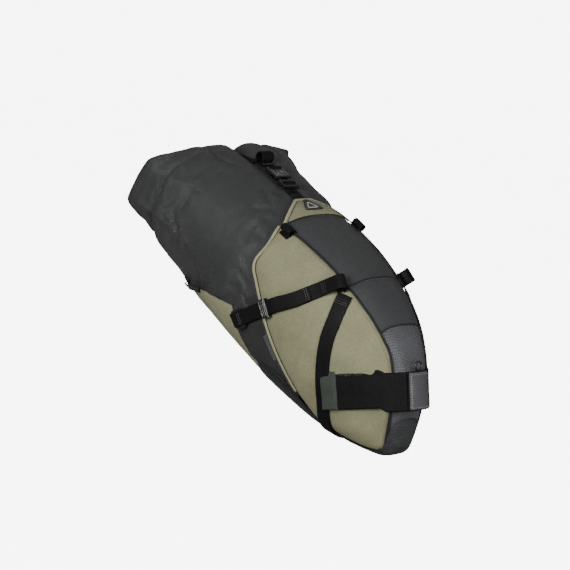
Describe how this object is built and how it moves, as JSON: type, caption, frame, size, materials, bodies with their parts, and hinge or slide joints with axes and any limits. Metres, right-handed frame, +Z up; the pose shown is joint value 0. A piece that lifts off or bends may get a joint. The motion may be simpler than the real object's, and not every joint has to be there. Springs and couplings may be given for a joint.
{
  "type": "saddle bag",
  "caption": "Rear seat pack for a bicycle: a tapered fabric holster with side straps and a seatpost strap, carrying a roll-top dry bag that slides out at the back.",
  "frame": {"origin": "middle of the seatpost strap, where the bag's front face meets the seatpost", "axes": "+X forward along the bicycle, +Y to the rider's left, +Z up; the bag rises 18 degrees towards its rear"},
  "size_m": [0.4831, 0.2478, 0.3211],
  "materials": {
    "khaki_fabric": "coated woven nylon, matt",
    "khaki_binding": "folded edge binding",
    "grey_fabric": "ripstop weave, slight sheen",
    "textured_fabric": "embossed grip cloth, sheen",
    "boot_fabric": "heavy coated cloth",
    "drybag_fabric": "waterproof coated ripstop",
    "gusset_fabric": "knitted mesh",
    "piping": "corded piping",
    "webbing": "nylon webbing",
    "buckle_plastic": "moulded acetal",
    "tab_fabric": "grey-green pull tab",
    "loop_pile": "loop pile",
    "label_weave": "blank woven label",
    "badge_rubber": "blank moulded badge",
    "stiffener_plastic": "plastic sheet",
    "ring_metal": "plated wire ring"
  },
  "bodies": {
    "holster": {"top_panel": "grey_fabric", "saddle_panel": "grey_fabric", "front_panel": "textured_fabric", "side_panel_right": "khaki_fabric", "side_panel_left": "khaki_fabric", "tongue": "khaki_fabric", "tongue_badge": "badge_rubber", "base_front": "boot_fabric", "base_rear": "khaki_fabric", "nose_cap": "textured_fabric", "base_hem": "boot_fabric", "base_stiffener": "stiffener_plastic", "gusset_right": "gusset_fabric", "gusset_left": "gusset_fabric", "gusset_label": "label_weave", "seam_piping_right": "piping", "seam_piping_left": "piping", "panel_binding_right": "khaki_binding", "panel_binding_left": "khaki_binding", "belly_strap": "webbing", "rail_loop_right": "webbing", "rail_loop_left": "webbing", "accessory_loop_right": "webbing", "accessory_loop_left": "webbing", "strap_anchor_right": "webbing", "strap_anchor_left": "webbing", "centre_strap": "webbing", "seatpost_strap": "webbing", "seatpost_patch": "textured_fabric", "seatpost_ring": "ring_metal", "hook_field": "loop_pile"},
    "dry_bag": {"drybag_shell": "drybag_fabric"},
    "roll_closure": {"mouth_collar": "drybag_fabric", "rolled_end": "drybag_fabric", "roll_stiffener": "stiffener_plastic", "closure_strap": "webbing", "closure_loop": "webbing", "buckle_female": "buckle_plastic"},
    "buckle_plug": {"buckle_male": "buckle_plastic"},
    "seatpost_flap": {"seatpost_flap": "webbing", "seatpost_tab": "tab_fabric"},
    "side_strap_right": {"side_strap_right": "webbing", "side_strap_tail_right": "webbing", "side_hook_right": "buckle_plastic"},
    "keeper_right": {"keeper_right": "buckle_plastic"},
    "side_strap_left": {"side_strap_left": "webbing", "side_strap_tail_left": "webbing", "side_hook_left": "buckle_plastic"},
    "keeper_left": {"keeper_left": "buckle_plastic"}
  },
  "joints": [
    {"name": "dry_bag_slide", "type": "slide", "parent": "holster", "child": "dry_bag", "axis": [-0.9511, 0, 0.309], "range_m": [0, 0.26]},
    {"name": "closure_slide", "type": "slide", "parent": "dry_bag", "child": "roll_closure", "axis": [-0.9511, 0, 0.309], "range_m": [0, 0.1]},
    {"name": "buckle_release", "type": "slide", "parent": "holster", "child": "buckle_plug", "axis": [0.9511, 0, -0.309], "range_m": [0, 0.022]},
    {"name": "seatpost_flap_hinge", "type": "hinge", "parent": "holster", "child": "seatpost_flap", "pos_m": [0.0125, -0.0195, 0.00358], "axis": [-0.2756, 0, 0.9613], "range_deg": [0, 110]},
    {"name": "side_strap_hinge_right", "type": "hinge", "parent": "holster", "child": "side_strap_right", "pos_m": [-0.09272, -0.05796, 0.11733], "axis": [-0.6316, 0.2924, 0.718], "range_deg": [0, 100]},
    {"name": "side_strap_hinge_left", "type": "hinge", "parent": "holster", "child": "side_strap_left", "pos_m": [-0.09272, 0.05796, 0.11733], "axis": [0.6316, 0.2924, -0.718], "range_deg": [0, 100]},
    {"name": "keeper_slide_right", "type": "slide", "parent": "side_strap_right", "child": "keeper_right", "axis": [-0.8465, -0.1077, -0.5214], "range_m": [-0.012, 0.01]},
    {"name": "keeper_slide_left", "type": "slide", "parent": "side_strap_left", "child": "keeper_left", "axis": [-0.8465, 0.1077, -0.5214], "range_m": [-0.012, 0.01]}
  ]
}
